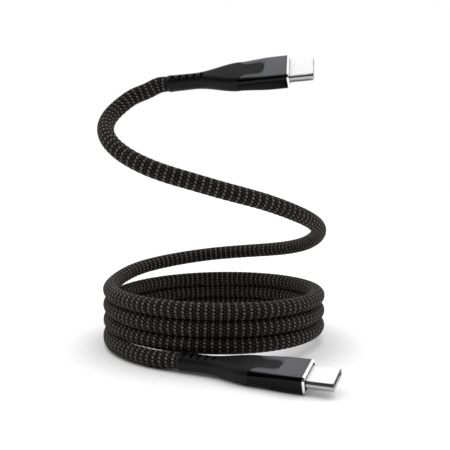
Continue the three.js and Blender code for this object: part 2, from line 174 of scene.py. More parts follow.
def spring_line(points, step):
    """The line through the points, walked along in even steps, and its length."""
    knots = np.array([tuple(point) for point in points])
    count = len(knots)
    spans = np.linalg.norm(np.diff(knots, axis=0), axis=1)
    reached = np.concatenate([[0], np.cumsum(spans)])
    slopes = np.diff(knots, axis=0) / spans[:, None]
    system, right = np.eye(count), np.zeros((count, 3))
    for i in range(1, count - 1):
        system[i, i - 1 : i + 2] = [spans[i - 1], 2 * (spans[i - 1] + spans[i]), spans[i]]
        right[i] = 6 * (slopes[i] - slopes[i - 1])
    bend = np.linalg.solve(system, right)
    fine = np.linspace(0, reached[-1], FINE_STEPS * count)
    span = np.clip(np.searchsorted(reached, fine) - 1, 0, count - 2)
    back = ((reached[span + 1] - fine) / spans[span])[:, None]
    ahead = ((fine - reached[span]) / spans[span])[:, None]
    curve = back * knots[span] + ahead * knots[span + 1]
    bow = (back**3 - back) * bend[span] + (ahead**3 - ahead) * bend[span + 1]
    curve += bow * (spans[span] ** 2)[:, None] / 6
    walked = np.concatenate([[0], np.cumsum(np.linalg.norm(np.diff(curve, axis=0), axis=1))])
    even = np.linspace(0, walked[-1], round(walked[-1] / step) + 1)
    return np.stack([np.interp(even, walked, curve[:, axis]) for axis in range(3)], axis=1), walked[-1]


BEAD_PITCH = 0.96
BEADS_AROUND = 14
line, cord_length = spring_line(key_points, BEAD_PITCH / 2 * MM)
print("The cord is", round(cord_length, 4), "m long, in", len(line), "steps")

# %% [markdown]
# The braid's surface is made of small swellings, one wherever a yarn comes up over another. They lie in
# rings, and each ring is turned by half a swelling against the next, as in any braid. A tube whose rings
# are half a swelling apart, with two vertices for each swelling, follows that relief with few faces, so
# the outline of the cord is bumpy in every view. The finer shape of the yarns is left to the finish.
# Rings are carried along the line without twisting, so the swellings stay in line. Where the cord goes
# into a strain relief the rubber grips it, so its last few millimetres are drawn in.

# %% The braided cord
BRAID_RELIEF = 0.16
GRIP, GRIP_SPAN = 0.09, 7.0
rows, columns = len(line), 2 * BEADS_AROUND


def carried_frames(points):
    """Two directions across the line at each point, turned as little as possible from one to the next."""
    along = np.gradient(points, axis=0)
    along /= np.linalg.norm(along, axis=1)[:, None]
    across = np.zeros_like(points)
    across[0] = np.cross(along[0], [0, 0, 1])
    across[0] /= np.linalg.norm(across[0])
    for i in range(1, len(points)):
        across[i] = across[i - 1] - along[i] * (across[i - 1] @ along[i])
        across[i] /= np.linalg.norm(across[i])
    return across, np.cross(along, across)


def braided_tube(name):
    """The bumpy tube round the line, with the braid's own map: turn across it and length along it."""
    side, up = carried_frames(line)
    turn = 2 * np.pi * np.arange(columns) / columns
    ring = np.arange(rows) / 2
    swelling = np.cos(np.pi * ring)[:, None] * np.cos(BEADS_AROUND * turn)[None, :]
    from_end = np.minimum(ring, ring[-1] - ring) * BEAD_PITCH / GRIP_SPAN
    drawn_in = 1 - GRIP * np.clip(1 - from_end, 0, 1) ** 2
    radius = (CORD_DIAMETER / 2 - BRAID_RELIEF * (1 - swelling) / 2) * drawn_in[:, None] * MM
    out = side[:, None] * np.cos(turn)[None, :, None] + up[:, None] * np.sin(turn)[None, :, None]
    points = (line[:, None] + out * radius[:, :, None]).reshape(-1, 3)
    ring_start = np.arange(rows - 1)[:, None] * columns
    first = ring_start + np.arange(columns)[None, :]
    following = ring_start + (np.arange(columns)[None, :] + 1) % columns
    quads = np.stack([first, following, following + columns, first + columns], axis=2).reshape(-1, 4)
    ends = [list(range(columns))[::-1], list(range((rows - 1) * columns, rows * columns))]
    mesh = bpy.data.meshes.new(name)
    mesh.from_pydata(points.tolist(), [], quads.tolist() + ends)
    row, column = np.divmod(np.arange(len(quads)), columns)
    u = np.stack([column, column + 1, column + 1, column], axis=1) / columns
    v = np.stack([row, row, row + 1, row + 1], axis=1) / (rows - 1)
    weave = np.zeros((len(mesh.loops), 2))
    weave[: 4 * len(quads)] = np.stack([u, v], axis=2).reshape(-1, 2)
    mesh.uv_layers.new(name="weave").data.foreach_set("uv", weave.ravel())
    mesh.polygons.foreach_set("use_smooth", [True] * len(mesh.polygons))
    tube = bpy.data.objects.new(name, mesh)
    bpy.context.scene.collection.objects.link(tube)
    return tube


braided_cord = braided_tube("braided_cord")
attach(braided_cord, "cable")
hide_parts("cord_coil", "cord_lead_in", "cord_rising_turn")
print("The braid has", len(braided_cord.data.polygons), "faces")

# %% [markdown]
# Finishes are node trees, and most of a tree is arithmetic. A small class wraps a socket and gives it the
# usual operators, so that a pattern is written as one readable expression. Every other node comes from
# one method, which takes the node's type, its settings and what feeds its sockets.


# %% Arithmetic for node trees
class Signal:
    """An output socket of a node tree that can be added, multiplied and compared."""

    def __init__(self, tree, socket):
        self.tree, self.socket = tree, socket

    def math(self, operation, *others):
        feeds = dict(enumerate((self, *others)))
        return add_node(self.tree, "ShaderNodeMath", {"operation": operation}, feeds)

    def __add__(self, other):
        return self.math("ADD", other)

    def __sub__(self, other):
        return self.math("SUBTRACT", other)

    def __rsub__(self, other):
        return (self * -1).math("ADD", other)

    def __mul__(self, other):
        return self.math("MULTIPLY", other)

    def __truediv__(self, other):
        return self.math("DIVIDE", other)

    __radd__ = __add__
    __rmul__ = __mul__

    def nearest(self):
        """The whole number next to the value."""
        return (self + 0.5).math("FLOOR")

    def soft_ramp(self, start, end, first, last):
        """The first level up to start, the last one from end on, and a soft step between."""
        feeds = {"Value": self, "From Min": start, "From Max": end, "To Min": first, "To Max": last}
        return add_node(self.tree, "ShaderNodeMapRange", {"interpolation_type": "SMOOTHSTEP"}, feeds)

    def fade(self, start, end):
        return self.soft_ramp(start, end, 1.0, 0.0)

    def rise(self, start, end):
        return self.soft_ramp(start, end, 0.0, 1.0)


def add_node(tree, kind, settings=None, feeds=None, output=0):
    """A new node with its settings made first and its sockets fed with values or with other signals."""
    node = tree.nodes.new(kind)
    for key, value in (settings or {}).items():
        setattr(node, key, value)
    for key, value in (feeds or {}).items():
        if isinstance(value, Signal):
            tree.links.new(value.socket, node.inputs[key])
        else:
            node.inputs[key].default_value = value
    return Signal(tree, node.outputs[output])


def blend_colours(tree, share, first, second):
    """The first colour where share is 0 and the second where it is 1."""
    first, second = ((*c, 1) if isinstance(c, tuple) else c for c in (first, second))
    return add_node(tree, "ShaderNodeMix", {"data_type": "RGBA"}, {0: share, 6: first, 7: second}, output=2)


print("Nodes can be added and mixed")

# %% [markdown]
# Every finish starts from an empty tree and ends in one surface shader. Relief too fine to model goes
# through a bump node, whose depth is given in millimetres like any other size. Cloudy variation is fixed
# to the piece itself, so it stays in place when the piece moves.


# %% Starting and closing a finish
def new_finish(name):
    material = bpy.data.materials.new(name)
    material.use_nodes = True
    material.node_tree.nodes.clear()
    return material, material.node_tree


def close_finish(tree, sockets, height=None, depth=0.0):
    """Feeds the surface shader, with relief from height, whose full range is depth millimetres."""
    if height is not None:
        feeds = {"Height": height, "Distance": depth * MM, "Strength": 1.0}
        sockets["Normal"] = add_node(tree, "ShaderNodeBump", None, feeds)
    surface = add_node(tree, "ShaderNodeBsdfPrincipled", None, sockets)
    tree.links.new(surface.socket, tree.nodes.new("ShaderNodeOutputMaterial").inputs["Surface"])


def object_noise(tree, size_mm, detail):
    """Cloudy variation whose lumps are about size_mm across, fixed to the piece."""
    place = add_node(tree, "ShaderNodeTexCoord", output=3)
    feeds = {"Vector": place, "Scale": 1 / (size_mm * MM), "Detail": detail}
    return add_node(tree, "ShaderNodeTexNoise", None, feeds)


print("Signals have", len([name for name in vars(Signal) if not name.startswith("__")]), "named moves")

# %% [markdown]
# The braid's finish. Two families of yarn cross at right angles. Those that run one way carry a light
# warm grey on every second ring and those that run the other way a dim brown between them, and all the
# rest is black. The pattern is worked out from the cord's own length and turn, so it bends with the cord.
# Each yarn is an ellipse that lies aslant, darker towards its edge, with fine filaments along it.

# %% Braid
LIGHT_YARN = (0.150, 0.139, 0.126)
DIM_YARN = (0.034, 0.030, 0.026)
BLACK_YARN = (0.0022, 0.0022, 0.0024)
YARN_LENGTH, YARN_WIDTH = 0.50, 0.35
YARN_CORE, LIGHT_YARN_END, DIM_YARN_END = 0.55, 1.15, 1.1
FILAMENTS_PER_MM, FILAMENT_HEIGHT = 9.0, 0.12
WEAVE_DEPTH = 0.16
FAMILY_SEED = 7.0


def yarn(around, along, lean):
    """The squared distance from the nearest yarn's middle, the place across it, and the yarn's shade."""
    cell_u, cell_v = around.nearest(), (along / 2).nearest()
    x = (along / 2 - cell_v) * (2 * BEAD_PITCH)
    y = (around - cell_u) * (math.pi * CORD_DIAMETER / BEADS_AROUND)
    lengthwise = (x + y * lean) * math.sqrt(0.5)
    crosswise = (x - y * lean) * math.sqrt(0.5)
    long_part, wide_part = lengthwise / YARN_LENGTH, crosswise / YARN_WIDTH
    place = add_node(around.tree, "ShaderNodeCombineXYZ", None, {0: cell_u, 1: cell_v, 2: lean * FAMILY_SEED})
    shade = add_node(around.tree, "ShaderNodeTexWhiteNoise", {"noise_dimensions": "3D"}, {"Vector": place})
    return long_part * long_part + wide_part * wide_part, crosswise, shade


def braid_finish():
    material, tree = new_finish("braid")
    place = add_node(tree, "ShaderNodeUVMap", {"uv_map": "weave"})
    split = tree.nodes.new("ShaderNodeSeparateXYZ")
    tree.links.new(place.socket, split.inputs[0])
    around = Signal(tree, split.outputs[0]) * BEADS_AROUND
    along = Signal(tree, split.outputs[1]) * ((rows - 1) / 2)
    light_edge, light_cross, light_shade = yarn(around, along, 1.0)
    dim_edge, dim_cross, dim_shade = yarn(around + 0.5, along + 1.0, -1.0)
    light, dim = light_edge.fade(YARN_CORE, LIGHT_YARN_END), dim_edge.fade(YARN_CORE, DIM_YARN_END)
    level = light * (0.78 + light_shade * 0.3)
    colour = blend_colours(tree, dim * (0.6 + dim_shade * 0.5), BLACK_YARN, DIM_YARN)
    colour = blend_colours(tree, level, colour, LIGHT_YARN)
    filaments = (light_cross * light + dim_cross * dim) * (2 * math.pi * FILAMENTS_PER_MM)
    crown = (1 - light_edge).math("MAXIMUM", 0.0) + (1 - dim_edge).math("MAXIMUM", 0.0)
    height = crown + filaments.math("SINE") * FILAMENT_HEIGHT * (light + dim)
    close_finish(
        tree,
        {"Base Color": colour, "Roughness": 0.75, "Specular IOR Level": 0.08},
        height,
        depth=WEAVE_DEPTH,
    )
    return material


braided_cord.data.materials.append(braid_finish())
print("The braid has", BEADS_AROUND, "swellings to a ring")

# %% [markdown]
# The plug's skin. Rubber and metal share one smooth body, so both are grown from the same section: a
# rectangle with round corners that is a full circle at the cord and slowly becomes the flat body of the
# plug. Growing it by hand means to add a circle, extrude it from station to station and shape each ring.
# The loop below does the same: the extrusion gives the faces, and each ring then takes its section.

# %% Sections along the plug
HOUSING_LENGTH, WALL = 14.3, 0.6
HOUSING_FRONT = {"width": 10.0, "thickness": 4.8, "corner": 1.4}
HOUSING_REAR = {"width": 9.5, "thickness": 4.5, "corner": 1.9}
SLEEVE_DIAMETER, WAIST_DIAMETER, LIP_DIAMETER = 4.7, 4.55, 4.9
FLARE_START, WAIST_SPAN = 8.0, 8.0
LIP_RISE, LIP_FALL = (0.5, 0.9), (0.95, 1.2)
END_ROUND = 0.42
CORNER_SHRINK, SMALLEST_CORNER = 0.6, 0.3
SECTION_SIDES = 72
CORNER_REST = 2 / SECTION_SIDES


def soft_step(x, start, end):
    share = min(max((x - start) / (end - start), 0.0), 1.0)
    return share * share * (3 - 2 * share)


def mix(first, second, share):
    return first + (second - first) * share


def body_section(x, inset=0.0):
    """The metal body's section at x: width, thickness and corner radius."""
    share = soft_step(x, -HOUSING_LENGTH, -HOUSING_LENGTH / 3)
    width, thickness, corner = (mix(HOUSING_REAR[k], HOUSING_FRONT[k], share) for k in HOUSING_FRONT)
    corner = max(corner - CORNER_SHRINK * inset, SMALLEST_CORNER)
    return width - 2 * inset, thickness - 2 * inset, corner


def sleeve_section(x):
    """The strain relief's section at x: round at the cord, as the metal body's at the front."""
    from_rear = x + BOOT_LENGTH
    flare = soft_step(x, FLARE_START - BOOT_LENGTH, -HOUSING_LENGTH)
    lip = soft_step(from_rear, *LIP_RISE) * (1 - soft_step(from_rear, *LIP_FALL))
    sleeve = mix(SLEEVE_DIAMETER, WAIST_DIAMETER, soft_step(from_rear, 0, WAIST_SPAN))
    missing = max(1 - from_rear / (2 * END_ROUND), 0)
    rounding = END_ROUND * (1 - math.sqrt(1 - missing**2))
    round_part = sleeve + (LIP_DIAMETER - SLEEVE_DIAMETER) * lip - rounding
    width = mix(round_part, HOUSING_REAR["width"], flare)
    thickness = mix(round_part, HOUSING_REAR["thickness"], flare)
    corner = mix(min(width, thickness) / 2, HOUSING_REAR["corner"], flare**2)
    return width, thickness, corner


def skin_section(x):
    return sleeve_section(x) if x < -HOUSING_LENGTH else body_section(x)


def on_section(turn, width, thickness, corner):
    """Where a point of a circle goes on a round-cornered rectangle. Its turn runs from 0 to 1."""
    corner = min(corner, width / 2, thickness / 2)
    quarter, share = divmod(turn * 4, 1)
    angle = (quarter + min(max((share - CORNER_REST) / (1 - 2 * CORNER_REST), 0), 1)) * math.pi / 2
    sideways = 1 if quarter in (0, 3) else -1
    upwards = 1 if quarter in (0, 1) else -1
    y = sideways * (width / 2 - corner) + corner * math.cos(angle)
    z = upwards * (thickness / 2 - corner) + corner * math.sin(angle)
    return y, z


print("At the mouth the sleeve is", [round(v, 2) for v in sleeve_section(-BOOT_LENGTH)], "mm")

# %% [markdown]
# The first hand moves are to select, to start a circle, to extrude it along X, and to close its ends or
# join them to each other. They work in edit mode on what is selected, so each of them first drops the
# selection that the step before has left.


# %% Growing a skin
def start_alone():
    if bpy.context.object and bpy.context.object.mode != "OBJECT":
        bpy.ops.object.mode_set(mode="OBJECT")
    bpy.ops.object.select_all(action="DESELECT")


def edit_alone(piece):
    start_alone()
    bpy.context.view_layer.objects.active = piece
    piece.select_set(True)
    bpy.ops.object.mode_set(mode="EDIT")
    bpy.ops.mesh.select_mode(type="VERT")


def select_vertices(piece, wanted):
    bpy.ops.mesh.select_all(action="DESELECT")
    shape = bmesh.from_edit_mesh(piece.data)
    shape.verts.ensure_lookup_table()
    for i, vertex in enumerate(shape.verts):
        vertex.select_set(bool(wanted(i, vertex.co)))
    shape.select_flush_mode()
    bmesh.update_edit_mesh(piece.data)


def grow_skin(name, rings, joined_ends=False):
    """A skin through rings of (x, width, thickness, corner), closed by two caps or joined into a wall."""
    sides = SECTION_SIDES
    start_alone()
    bpy.ops.mesh.primitive_circle_add(vertices=sides, radius=1, rotation=(0, math.pi / 2, 0))
    piece = bpy.context.object
    piece.name = piece.data.name = name
    bpy.ops.object.transform_apply(location=True, rotation=True, scale=True)
    edit_alone(piece)
    bpy.ops.mesh.select_all(action="SELECT")
    bpy.ops.transform.translate(value=(rings[0][0], 0, 0))
    for ring, following in zip(rings, rings[1:]):
        step = (following[0] - ring[0], 0, 0)
        bpy.ops.mesh.extrude_region_move(TRANSFORM_OT_translate={"value": step})
    last = (len(rings) - 1) * sides
    if joined_ends:
        select_vertices(piece, lambda i, co: i < sides or i >= last)
        bpy.ops.mesh.bridge_edge_loops()
    else:
        for end in (lambda i, co: i < sides, lambda i, co: i >= last):
            select_vertices(piece, end)
            bpy.ops.mesh.edge_face_add()
    bpy.ops.object.mode_set(mode="OBJECT")
    for i, vertex in enumerate(piece.data.vertices):
        x, width, thickness, corner = rings[i // sides]
        turn = (math.atan2(vertex.co.z, vertex.co.y) / (2 * math.pi)) % 1
        vertex.co = (x, *on_section((turn + 0.5 / sides) % 1, width, thickness, corner))
    edit_alone(piece)
    bpy.ops.mesh.select_all(action="SELECT")
    bpy.ops.mesh.normals_make_consistent(inside=False)
    bpy.ops.object.mode_set(mode="OBJECT")
    return piece


print("A section has", SECTION_SIDES, "sides")

# %% [markdown]
# The other hand moves cut. A cutter is a plain block or a flat outline that is extruded, and the Boolean
# modifier takes its volume out of the piece. It is applied at once, and the cutter is thrown away.


# %% Cutting
def cut_away(piece, cutter):
    """Takes the cutter's volume out of the piece and removes the cutter."""
    start_alone()
    bpy.context.view_layer.objects.active = piece
    cut = piece.modifiers.new("cut", "BOOLEAN")
    cut.operation, cut.solver, cut.object = "DIFFERENCE", "EXACT", cutter
    bpy.ops.object.modifier_apply(modifier=cut.name)
    bpy.data.objects.remove(cutter)


def outline_block(name, outline, low, high):
    """A flat outline of (x, y) points, filled and extruded from one height to another."""
    mesh = bpy.data.meshes.new(name)
    mesh.from_pydata([(x, y, low) for x, y in outline], [], [list(range(len(outline)))])
    block = bpy.data.objects.new(name, mesh)
    bpy.context.scene.collection.objects.link(block)
    edit_alone(block)
    bpy.ops.mesh.select_all(action="SELECT")
    bpy.ops.mesh.extrude_region_move(TRANSFORM_OT_translate={"value": (0, 0, high - low)})
    bpy.ops.mesh.select_all(action="SELECT")
    bpy.ops.mesh.normals_make_consistent(inside=False)
    bpy.ops.object.mode_set(mode="OBJECT")
    return block


def cube_block(name, low, high):
    start_alone()
    middle = [(a + b) / 2 for a, b in zip(low, high)]
    size = [b - a for a, b in zip(low, high)]
    bpy.ops.mesh.primitive_cube_add(size=1, location=middle, scale=size)
    block = bpy.context.object
    block.name = block.data.name = name
    bpy.ops.object.transform_apply(location=True, rotation=True, scale=True)
    return block


def smooth_faces(piece, angle_degrees):
    """Faces that meet at less than the angle are shaded as one surface."""
    start_alone()
    piece.select_set(True)
    bpy.context.view_layer.objects.active = piece
    bpy.ops.object.shade_smooth_by_angle(angle=math.radians(angle_degrees))


print("Cutters are ready")

# %% [markdown]
# The strain relief is one rubber moulding: a round sleeve with a small lip where the cord comes in, five
# slots across it that let it bend, a flare to the metal body's section, and a tongue that runs forward into
# the metal on both faces. It is grown as one long skin, so the tongue lies flush with the metal. A block
# with the tongue's outline left out of it then cuts away all that isn't tongue, and a second one hollows
# the middle.

# %% The tongue's outline
TONGUE = {"tip": -7.0, "half_width": 1.75, "neck": -11.9, "root": 4.0}
TONGUE_SHOULDER, SHOULDER_SWELL = 1.2, 0.15
CURVE_STEPS = 8


def quadratic(start, control, end):
    """Points of a curve that leaves start towards control and arrives at end. The start is left out."""
    for i in range(1, CURVE_STEPS + 1):
        share = i / CURVE_STEPS
        weights = (1 - share) ** 2, 2 * share * (1 - share), share * share
        yield tuple(sum(w * c for w, c in zip(weights, along)) for along in zip(start, control, end))


def tongue_side(grow, side):
    """One side of the outline, from its root to the middle of its tip. The side is 1 or -1."""
    half, root = TONGUE["half_width"] + grow, TONGUE["root"] + grow
    middle = TONGUE["tip"] + grow - half
    points = [(-HOUSING_LENGTH, side * root)]
    shoulder = (-HOUSING_LENGTH + TONGUE_SHOULDER, side * (half + SHOULDER_SWELL))
    points += quadratic(points[-1], shoulder, (TONGUE["neck"], side * half))
    for i in range(CURVE_STEPS + 1):
        angle = math.pi / 2 * (1 - i / CURVE_STEPS)
        points.append((middle + half * math.cos(angle), side * half * math.sin(angle)))
    return points


def tongue_outline(grow):
    return tongue_side(grow, -1) + tongue_side(grow, 1)[::-1][1:]


print("The tongue's outline has", len(tongue_outline(0)), "points")

# %% [markdown]
# The skin starts inside the mouth, turns over its round end and runs a little past the tongue's tip. Its
# stations are close together where it curves, at the mouth and the lip, and wider apart along the flare.

# %% Strain relief's skin and slots
MOUTH_BORE, MOUTH_DEPTH, MOUTH_EDGE = 4.2, 1.6, 0.06
HAIRLINE = 0.05
STATION_STEP, SKIN_FRONT = 0.7, -6.3
SLOTS = {"count": 5, "first": 1.9, "pitch": 2.13, "width": 0.8, "span": 2.1, "aside": -0.25, "depth": 0.55}
SLOT_TOP, SLOT_ROUND = 2.0, 0.38


def sleeve_rings():
    rear = -BOOT_LENGTH
    bore = MOUTH_BORE, MOUTH_BORE, MOUTH_BORE / 2
    rings = [(rear + MOUTH_DEPTH, *bore), (rear + MOUTH_EDGE, *bore)]
    offsets = [0.0, 0.03, 0.08, 0.16, 0.27, 0.4, 0.5, 0.6, 0.7, 0.8, 0.9, 0.95, 1.03, 1.1, 1.2, 1.5]
    offsets += list(np.arange(2.5, BOOT_LENGTH - HOUSING_LENGTH - 0.2, STATION_STEP))
    rings += [(rear + s, *skin_section(rear + s)) for s in offsets]
    joint = [-HOUSING_LENGTH - HAIRLINE, -HOUSING_LENGTH + HAIRLINE]
    stations = joint + list(np.arange(0.6 - HOUSING_LENGTH, SKIN_FRONT, STATION_STEP))
    return rings + [(x, *skin_section(x)) for x in stations]


def slot_block():
    """One slot's volume, with its four upright edges rounded."""
    low = SLEEVE_DIAMETER / 2 - SLOTS["depth"]
    half_width, half_span, aside = SLOTS["width"] / 2, SLOTS["span"] / 2, SLOTS["aside"]
    corners = (-half_width, aside - half_span, low), (half_width, aside + half_span, low + SLOT_TOP)
    block = cube_block("slot", *corners)
    edit_alone(block)
    bpy.ops.mesh.select_mode(type="EDGE")
    shape = bmesh.from_edit_mesh(block.data)
    for edge in shape.edges:
        edge.select_set(abs(edge.verts[0].co.z - edge.verts[1].co.z) > SLOT_TOP / 2)
    bmesh.update_edit_mesh(block.data)
    bpy.ops.mesh.bevel(offset=SLOT_ROUND, segments=5)
    bpy.ops.object.mode_set(mode="OBJECT")
    return block


def slot_cutter():
    """Ten slots with round ends, five on each face, as one piece."""
    blocks = []
    for i in range(SLOTS["count"]):
        for half_turns in (0, 1):
            block = slot_block()
            block.data.transform(Matrix.Rotation(half_turns * math.pi, 4, "X"))
            along = SLOTS["first"] + i * SLOTS["pitch"] - BOOT_LENGTH
            block.data.transform(Matrix.Translation((along, 0, 0)))
            blocks.append(block)
    start_alone()
    for block in blocks:
        block.select_set(True)
    bpy.context.view_layer.objects.active = blocks[0]
    bpy.ops.object.join()
    return blocks[0]


print("The strain relief has", len(sleeve_rings()), "rings")

# %% [markdown]
# The skin is grown through those rings and then cut three times: round the tongue, where the metal's
# inside is hollow, and at the slots. How deep each vertex lies under the sleeve's skin is stored on the
# mesh as well, so that the finish can paint shade into the slots as a black colour.

# %% Strain relief
BLOCK_SIDE, BLOCK_FRONT, BLOCK_HEIGHT = 7.0, -5.0, 4.0
HOLLOW_FRONT = -4.0
SLOTTED = (1.55, 11.0)
RECESS_START, RECESS_SPAN = 0.03, 0.1


def around_tongue():
    """All of the metal body's length except the tongue, through both faces."""
    back, front, side = -HOUSING_LENGTH - HAIRLINE, BLOCK_FRONT, BLOCK_SIDE
    corners = [(front, side), (front, -side), (back, -side)]
    outline = [(back, side), *corners, (back, -TONGUE["root"]), *tongue_outline(0), (back, TONGUE["root"])]
    return outline_block("around_tongue", outline, -BLOCK_HEIGHT, BLOCK_HEIGHT)


def hollow_block():
    """The room inside the metal body's walls."""
    back, side = -HOUSING_LENGTH - HAIRLINE, HOUSING_FRONT["width"] / 2 - WALL
    top = HOUSING_FRONT["thickness"] / 2 - WALL
    return cube_block("hollow", (back, -side, -top), (HOLLOW_FRONT, side, top))


def mark_recess(piece):
    """How deep each vertex lies under the sleeve's skin, from 0 to 1 at a slot's floor."""
    depth = []
    for vertex in piece.data.vertices:
        in_slots = SLOTTED[0] < vertex.co.x + BOOT_LENGTH < SLOTTED[1]
        below = WAIST_DIAMETER / 2 - math.hypot(vertex.co.y, vertex.co.z)
        depth.append(min(max((below - RECESS_START) / RECESS_SPAN, 0.0), 1.0) if in_slots else 0.0)
    piece.data.attributes.new("recess", "FLOAT", "POINT").data.foreach_set("value", depth)


strain_relief = grow_skin("strain_relief", sleeve_rings())
cut_away(strain_relief, around_tongue())
cut_away(strain_relief, hollow_block())
cut_away(strain_relief, slot_cutter())
mark_recess(strain_relief)
smooth_faces(strain_relief, 30)
print("The strain relief has", len(strain_relief.data.polygons), "faces")

# %% [markdown]
# The metal body is a flat aluminium sleeve. Its two broad faces are blasted and anodised a satin grey. Its
# sides are polished, and shade is painted on them as a nearly black colour. The front edge is cut back to
# bright metal, which draws a fine ring round the plug. It is a wall, so its skin runs forward outside, over
# the front edge and back inside.

# %% Metal body
EDGE_CUT, EDGE_LENGTH = 0.28, 0.5
RIM_SOFTENING, WALL_SOFTENING, REAR_SOFTENING = 0.02, 0.05, 0.06
BODY_STEP = 0.65
NOTCH_LOW, NOTCH_HIGH = 1.0, 4.0


def body_rings():
    rear = -HOUSING_LENGTH
    rings = [(rear, *body_section(rear, REAR_SOFTENING)), (rear + 0.07, *body_section(rear))]
    stations = [*np.arange(rear + 0.7, -EDGE_LENGTH - 0.3, BODY_STEP), -EDGE_LENGTH]
    rings += [(x, *body_section(x)) for x in stations]
    rings.append((-RIM_SOFTENING, *body_section(0, EDGE_CUT - RIM_SOFTENING)))
    rings.append((0, *body_section(0, EDGE_CUT + RIM_SOFTENING)))
    rings.append((0, *body_section(0, WALL - WALL_SOFTENING)))
    return rings + [(x, *body_section(0, WALL)) for x in (-WALL_SOFTENING, -1.5, rear)]


def broad_face_share(piece):
    """Stores 1 on the two broad faces and 0 on the sides and round edges, with a soft step at the edge."""
    normals = [vertex.normal.z for vertex in piece.data.vertices]
    share = [soft_step(abs(z), 0.86, 0.97) for z in normals]
    piece.data.attributes.new("broad", "FLOAT", "POINT").data.foreach_set("value", share)


def bright_edge_faces(piece):
    """The front edge's faces take the second material."""
    for face in piece.data.polygons:
        if face.center.x > -EDGE_LENGTH + RIM_SOFTENING / 2:
            face.material_index = 1


metal_body = grow_skin("metal_body", body_rings(), joined_ends=True)
broad_face_share(metal_body)
behind = -HOUSING_LENGTH - 1
notch = [(behind, -TONGUE["root"]), *tongue_outline(HAIRLINE), (behind, TONGUE["root"])]
for low, high in ((NOTCH_LOW, NOTCH_HIGH), (-NOTCH_HIGH, -NOTCH_LOW)):
    cut_away(metal_body, outline_block("notch", notch, low, high))
smooth_faces(metal_body, 40)
print("The metal body has", len(metal_body.data.polygons), "faces")

# %% [markdown]
# The contact shell is drawn from thin steel: a flattened tube whose mouth is rolled in a little, so its
# tip has a soft bright edge and not a sharp one. The front plate fills the body round it, in black plastic.

# %% Shell and front plate
SHELL = {"width": 8.25, "thickness": 2.4, "tip": 6.65, "tail": -3.6, "wall": 0.3}
PLATE_FRONT, PLATE_BACK = -0.4, -1.4
PLATE_CLEARANCE, PLATE_EDGE, PLATE_HOLE_CLEARANCE = 0.03, 0.05, 0.04


def shell_section(inset):
    width, thickness = SHELL["width"] - 2 * inset, SHELL["thickness"] - 2 * inset
    return width, thickness, thickness / 2


def shell_rings():
    tip = SHELL["tip"]
    outside = [(SHELL["tail"], 0.0), (0.0, 0.0), (tip - 1.2, 0.0), (tip - 0.4, 0.0)]
    rolled = [(tip - 0.22, 0.02), (tip - 0.1, 0.06), (tip - 0.03, 0.12), (tip, 0.2), (tip - 0.04, 0.27)]
    inside = [(tip - 0.14, SHELL["wall"]), (tip - 1.2, SHELL["wall"]), (SHELL["tail"], SHELL["wall"])]
    return [(x, *shell_section(inset)) for x, inset in outside + rolled + inside]


def plate_rings():
    outer = body_section(0, WALL + PLATE_CLEARANCE)
    outer_edge = body_section(0, WALL + PLATE_CLEARANCE + PLATE_EDGE)
    hole = shell_section(-PLATE_HOLE_CLEARANCE)
    hole_edge = shell_section(-PLATE_HOLE_CLEARANCE - 0.06)
    rings = [(PLATE_BACK, *outer), (PLATE_FRONT - PLATE_EDGE, *outer), (PLATE_FRONT, *outer_edge)]
    return rings + [(PLATE_FRONT, *hole_edge), (PLATE_FRONT - 0.06, *hole), (PLATE_BACK, *hole)]


plug_shell = grow_skin("plug_shell", shell_rings(), joined_ends=True)
broad_face_share(plug_shell)
smooth_faces(plug_shell, 50)
front_plate = grow_skin("front_plate", plate_rings(), joined_ends=True)
smooth_faces(front_plate, 40)
print("The shell has", len(plug_shell.data.polygons), "faces")

# %% [markdown]
# Rubber. The strain relief is a soft dull elastomer: nearly black, with a very fine grain from the mould
# and slightly uneven gloss. The slots collect no light, so shade is painted into them as a black floor
# colour.

# %% Rubber finish
RUBBER_DARK, RUBBER_PALE = (0.0030, 0.0030, 0.0032), (0.0044, 0.0044, 0.0046)
SLOT_PAINTED_SHADE = (0.0004, 0.0004, 0.0004)


def rubber_finish():
    material, tree = new_finish("boot_rubber")
    grain = object_noise(tree, 0.16, detail=4.0)
    cloud = object_noise(tree, 3.5, detail=2.0)
    recess = add_node(tree, "ShaderNodeAttribute", {"attribute_name": "recess"}, output=2)
    colour = blend_colours(tree, cloud, RUBBER_DARK, RUBBER_PALE)
    # Painted shade: the slots are coloured black by how deep they lie.
    colour = blend_colours(tree, recess, colour, SLOT_PAINTED_SHADE)
    roughness = 0.40 + cloud * 0.08 + recess * 0.3
    sockets = {"Base Color": colour, "Roughness": roughness, "Specular IOR Level": 0.2}
    close_finish(tree, sockets, grain, depth=0.012)
    return material


strain_relief.data.materials.append(rubber_finish())
print("The rubber's slots are", SLOT_PAINTED_SHADE[0], "bright")

# %% [markdown]
# Metals. One function makes the plain ones, because they differ only in tint, gloss and how fine their
# marks are. The body and the contact shell are exceptions: their sides are glossier than their broad faces
# and painted darker as shade, and the share of each was stored on the mesh.

# %% Metal finishes
SATIN_GREY = (0.138, 0.140, 0.150)
BODY_SIDE_PAINTED_SHADE = (0.0135, 0.0135, 0.0140)
PLATED_FLAT, SHELL_SIDE_PAINTED_SHADE = (0.97, 0.97, 0.975), (0.40, 0.40, 0.41)


def metal_finish(name, tint, roughness, mark_size, mark_depth):
    material, tree = new_finish(name)
    marks = object_noise(tree, mark_size, detail=4.0)
    cloud = object_noise(tree, 2.5, detail=2.0)
    colour = blend_colours(tree, cloud, tuple(0.94 * c for c in tint), tint)
    sockets = {"Base Color": colour, "Metallic": 1.0, "Roughness": roughness + cloud * 0.05}
    close_finish(tree, sockets, marks, depth=mark_depth)
    return material


